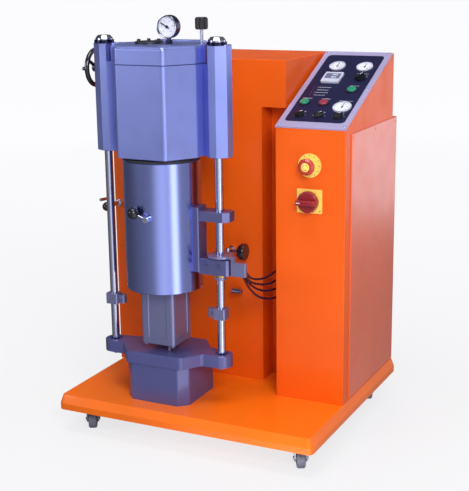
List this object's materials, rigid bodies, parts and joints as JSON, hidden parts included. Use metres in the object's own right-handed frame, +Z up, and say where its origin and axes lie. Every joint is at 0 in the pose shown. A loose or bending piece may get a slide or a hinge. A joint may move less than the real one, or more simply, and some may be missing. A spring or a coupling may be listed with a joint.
{
  "type": "vacuum casting machine",
  "caption": "Floor-standing vacuum casting machine with a melting chamber on guide columns, a swinging flask chamber, a sheet-metal cabinet and a control column on a wheeled deck",
  "frame": {"origin": "on the floor under the middle of the deck", "axes": "+Z up, +X to the operator's right, -Y towards the operator"},
  "size_m": [0.696, 0.616, 1.045],
  "materials": {
    "orange_paint": "gloss",
    "blue_enamel": "gloss",
    "chamber_steel": "brushed",
    "chromed_steel": "mirror polish",
    "zinc_steel": "zinc plated",
    "frame_grey": "satin",
    "bezel_lilac": "satin",
    "panel_navy": "satin",
    "instrument_white": "gloss",
    "black_plastic": "gloss",
    "green_plastic": "gloss",
    "red_plastic": "gloss",
    "yellow_plastic": "gloss",
    "grey_plastic": "matte",
    "seal_rubber": "matte",
    "hose_plastic": "satin",
    "brass": "machined",
    "copper": "bright drawn",
    "graphite": "matte",
    "glass": "clear",
    "machined_aluminium": "machined"
  },
  "bodies": {
    "machine": {"deck": "orange_paint", "underframe": "frame_grey", "cabinet_shell": "orange_paint", "cabinet_back_cover": "orange_paint", "column_shell": "orange_paint", "column_side_cover": "orange_paint", "panel_bezel": "bezel_lilac", "panel_plate": "panel_navy", "panel_instruments": "instrument_white", "switch_collars": "black_plastic", "base_casting": "blue_enamel", "guide_columns": "chromed_steel", "melting_chamber_body": "blue_enamel", "head_end_blocks": "blue_enamel", "crucible": "graphite", "induction_coil": "copper", "manifold_bracket": "machined_aluminium", "column_collars": "machined_aluminium", "wall_fittings": "chromed_steel", "safety_plates": "yellow_plastic", "service_ports": "zinc_steel", "air_hoses": "hose_plastic"},
    "fork_front_left": {"castor_fork_front_left": "zinc_steel"},
    "wheel_front_left": {"castor_wheel_front_left": "grey_plastic"},
    "fork_front_right": {"castor_fork_front_right": "zinc_steel"},
    "wheel_front_right": {"castor_wheel_front_right": "grey_plastic"},
    "fork_rear_left": {"castor_fork_rear_left": "zinc_steel"},
    "wheel_rear_left": {"castor_wheel_rear_left": "grey_plastic"},
    "fork_rear_right": {"castor_fork_rear_right": "zinc_steel"},
    "wheel_rear_right": {"castor_wheel_rear_right": "grey_plastic"},
    "lid": {"chamber_lid": "blue_enamel", "sight_glass_frame": "black_plastic", "sight_glass": "glass", "pressure_gauge": "chromed_steel"},
    "gauge_needle": {"pressure_pointer": "black_plastic"},
    "vent": {"vent_plunger": "black_plastic"},
    "clamp_washer": {"clamp_washer": "brass"},
    "handwheel": {"clamp_handwheel": "black_plastic"},
    "stopper": {"stopper_rod": "graphite"},
    "lift_bush": {"lift_bush": "brass"},
    "flask_carriage": {"swing_arm": "blue_enamel", "flask_chamber": "chamber_steel", "chamber_seal": "seal_rubber", "lift_cylinder": "machined_aluminium"},
    "table": {"flask_table": "zinc_steel"},
    "vent_cock": {"vent_cock": "black_plastic"},
    "wall_valve_knob": {"wall_valve_knob": "black_plastic"},
    "side_cock_knob": {"side_cock_knob": "black_plastic"},
    "stop_button": {"stop_button": "red_plastic"},
    "isolator_knob": {"isolator_knob": "red_plastic"},
    "left_green_button": {"left_green_button": "green_plastic"},
    "right_green_button": {"right_green_button": "green_plastic"},
    "red_button": {"red_button": "red_plastic"},
    "rotary_selector": {"rotary_selector": "black_plastic"},
    "left_lever_switch": {"left_lever_switch": "black_plastic"},
    "middle_lever_switch": {"middle_lever_switch": "black_plastic"},
    "right_lever_switch": {"right_lever_switch": "black_plastic"},
    "left_gauge_pointer": {"left_gauge_pointer": "red_plastic"},
    "right_gauge_pointer": {"right_gauge_pointer": "red_plastic"},
    "large_gauge_pointer": {"large_gauge_pointer": "red_plastic"}
  },
  "joints": [
    {"name": "swivel_front_left", "type": "hinge", "parent": "machine", "child": "fork_front_left", "pos_m": [-0.29, -0.238, 0.05], "axis": [0, 0, 1], "continuous": true},
    {"name": "roll_front_left", "type": "hinge", "parent": "fork_front_left", "child": "wheel_front_left", "pos_m": [-0.28108, -0.25478, 0.025], "axis": [-0.8829, -0.4695, 0], "continuous": true},
    {"name": "swivel_front_right", "type": "hinge", "parent": "machine", "child": "fork_front_right", "pos_m": [0.29, -0.238, 0.05], "axis": [0, 0, 1], "continuous": true},
    {"name": "roll_front_right", "type": "hinge", "parent": "fork_front_right", "child": "wheel_front_right", "pos_m": [0.29892, -0.25478, 0.025], "axis": [-0.8829, -0.4695, 0], "continuous": true},
    {"name": "swivel_rear_left", "type": "hinge", "parent": "machine", "child": "fork_rear_left", "pos_m": [-0.29, 0.238, 0.05], "axis": [0, 0, 1], "continuous": true},
    {"name": "roll_rear_left", "type": "hinge", "parent": "fork_rear_left", "child": "wheel_rear_left", "pos_m": [-0.28108, 0.22122, 0.025], "axis": [-0.8829, -0.4695, 0], "continuous": true},
    {"name": "swivel_rear_right", "type": "hinge", "parent": "machine", "child": "fork_rear_right", "pos_m": [0.29, 0.238, 0.05], "axis": [0, 0, 1], "continuous": true},
    {"name": "roll_rear_right", "type": "hinge", "parent": "fork_rear_right", "child": "wheel_rear_right", "pos_m": [0.29892, 0.22122, 0.025], "axis": [-0.8829, -0.4695, 0], "continuous": true},
    {"name": "lid_hinge", "type": "hinge", "parent": "machine", "child": "lid", "pos_m": [-0.095, -0.076, 0.9735], "axis": [-1, 0, 0], "range_deg": [0, 95]},
    {"name": "gauge_needle_turn", "type": "hinge", "parent": "lid", "child": "gauge_needle", "pos_m": [-0.066, -0.197, 1.018], "axis": [0, 1, 0], "range_deg": [-75, 195]},
    {"name": "vent_lift", "type": "slide", "parent": "lid", "child": "vent", "axis": [0, 0, 1], "range_m": [0, 0.015]},
    {"name": "clamp_washer_slide", "type": "slide", "parent": "machine", "child": "clamp_washer", "axis": [-1, 0, 0], "range_m": [0, 0.006]},
    {"name": "handwheel_turn", "type": "hinge", "parent": "clamp_washer", "child": "handwheel", "pos_m": [-0.296, -0.145, 0.914], "axis": [-1, 0, 0], "range_deg": [0, 1080]},
    {"name": "stopper_lift", "type": "slide", "parent": "machine", "child": "stopper", "axis": [0, 0, 1], "range_m": [0, 0.02]},
    {"name": "chamber_lift", "type": "slide", "parent": "machine", "child": "lift_bush", "axis": [0, 0, 1], "range_m": [0, 0.0035]},
    {"name": "chamber_swing", "type": "hinge", "parent": "lift_bush", "child": "flask_carriage", "pos_m": [0.0575, -0.181, 0.431], "axis": [0, 0, 1], "range_deg": [0, 100]},
    {"name": "table_lift", "type": "slide", "parent": "flask_carriage", "child": "table", "axis": [0, 0, 1], "range_m": [0, 0.075]},
    {"name": "vent_cock_turn", "type": "hinge", "parent": "flask_carriage", "child": "vent_cock", "pos_m": [-0.08211, -0.288, 0.575], "axis": [0, 1, 0], "range_deg": [0, 90]},
    {"name": "wall_valve_turn", "type": "hinge", "parent": "machine", "child": "wall_valve_knob", "pos_m": [0.039, -0.027, 0.447], "axis": [1, 0, 0], "range_deg": [0, 720]},
    {"name": "side_cock_turn", "type": "hinge", "parent": "machine", "child": "side_cock_knob", "pos_m": [-0.335, -0.052, 0.541], "axis": [0, -1, 0], "range_deg": [0, 720]},
    {"name": "stop_push", "type": "slide", "parent": "machine", "child": "stop_button", "axis": [0, 1, 0], "range_m": [0, 0.004]},
    {"name": "isolator_turn", "type": "hinge", "parent": "machine", "child": "isolator_knob", "pos_m": [0.2505, -0.0845, 0.607], "axis": [0, 1, 0], "range_deg": [0, 90]},
    {"name": "left_green_button_push", "type": "slide", "parent": "machine", "child": "left_green_button", "axis": [0, 0.4094, -0.9124], "range_m": [0, 0.002], "stiffness_N_per_m": 300, "springref_m": -0.002},
    {"name": "right_green_button_push", "type": "slide", "parent": "machine", "child": "right_green_button", "axis": [0, 0.4094, -0.9124], "range_m": [0, 0.002], "stiffness_N_per_m": 300, "springref_m": -0.002},
    {"name": "red_button_push", "type": "slide", "parent": "machine", "child": "red_button", "axis": [0, 0.4094, -0.9124], "range_m": [0, 0.002], "stiffness_N_per_m": 300, "springref_m": -0.002},
    {"name": "selector_turn", "type": "hinge", "parent": "machine", "child": "rotary_selector", "pos_m": [0.2975, 0.12899, 0.8758], "axis": [0, -0.4094, 0.9124], "range_deg": [-60, 60]},
    {"name": "left_lever_switch_turn", "type": "hinge", "parent": "machine", "child": "left_lever_switch", "pos_m": [0.2045, -0.03614, 0.8017], "axis": [0, -0.4094, 0.9124], "range_deg": [-70, 0]},
    {"name": "middle_lever_switch_turn", "type": "hinge", "parent": "machine", "child": "middle_lever_switch", "pos_m": [0.2535, -0.03614, 0.8017], "axis": [0, -0.4094, 0.9124], "range_deg": [-70, 0]},
    {"name": "right_lever_switch_turn", "type": "hinge", "parent": "machine", "child": "right_lever_switch", "pos_m": [0.3025, -0.03614, 0.8017], "axis": [0, -0.4094, 0.9124], "range_deg": [-70, 0]},
    {"name": "left_gauge_pointer_turn", "type": "hinge", "parent": "machine", "child": "left_gauge_pointer", "pos_m": [0.2175, 0.18191, 0.89955], "axis": [0, -0.4094, 0.9124], "range_deg": [-130, 130]},
    {"name": "right_gauge_pointer_turn", "type": "hinge", "parent": "machine", "child": "right_gauge_pointer", "pos_m": [0.2905, 0.18191, 0.89955], "axis": [0, -0.4094, 0.9124], "range_deg": [-130, 130]},
    {"name": "large_gauge_pointer_turn", "type": "hinge", "parent": "machine", "child": "large_gauge_pointer", "pos_m": [0.2975, 0.004, 0.81971], "axis": [0, -0.4094, 0.9124], "range_deg": [-130, 130]}
  ],
  "couplings": [
    {"joint": "clamp_washer_slide", "follows": "handwheel_turn", "m_per_rad": 0.0003183}
  ]
}
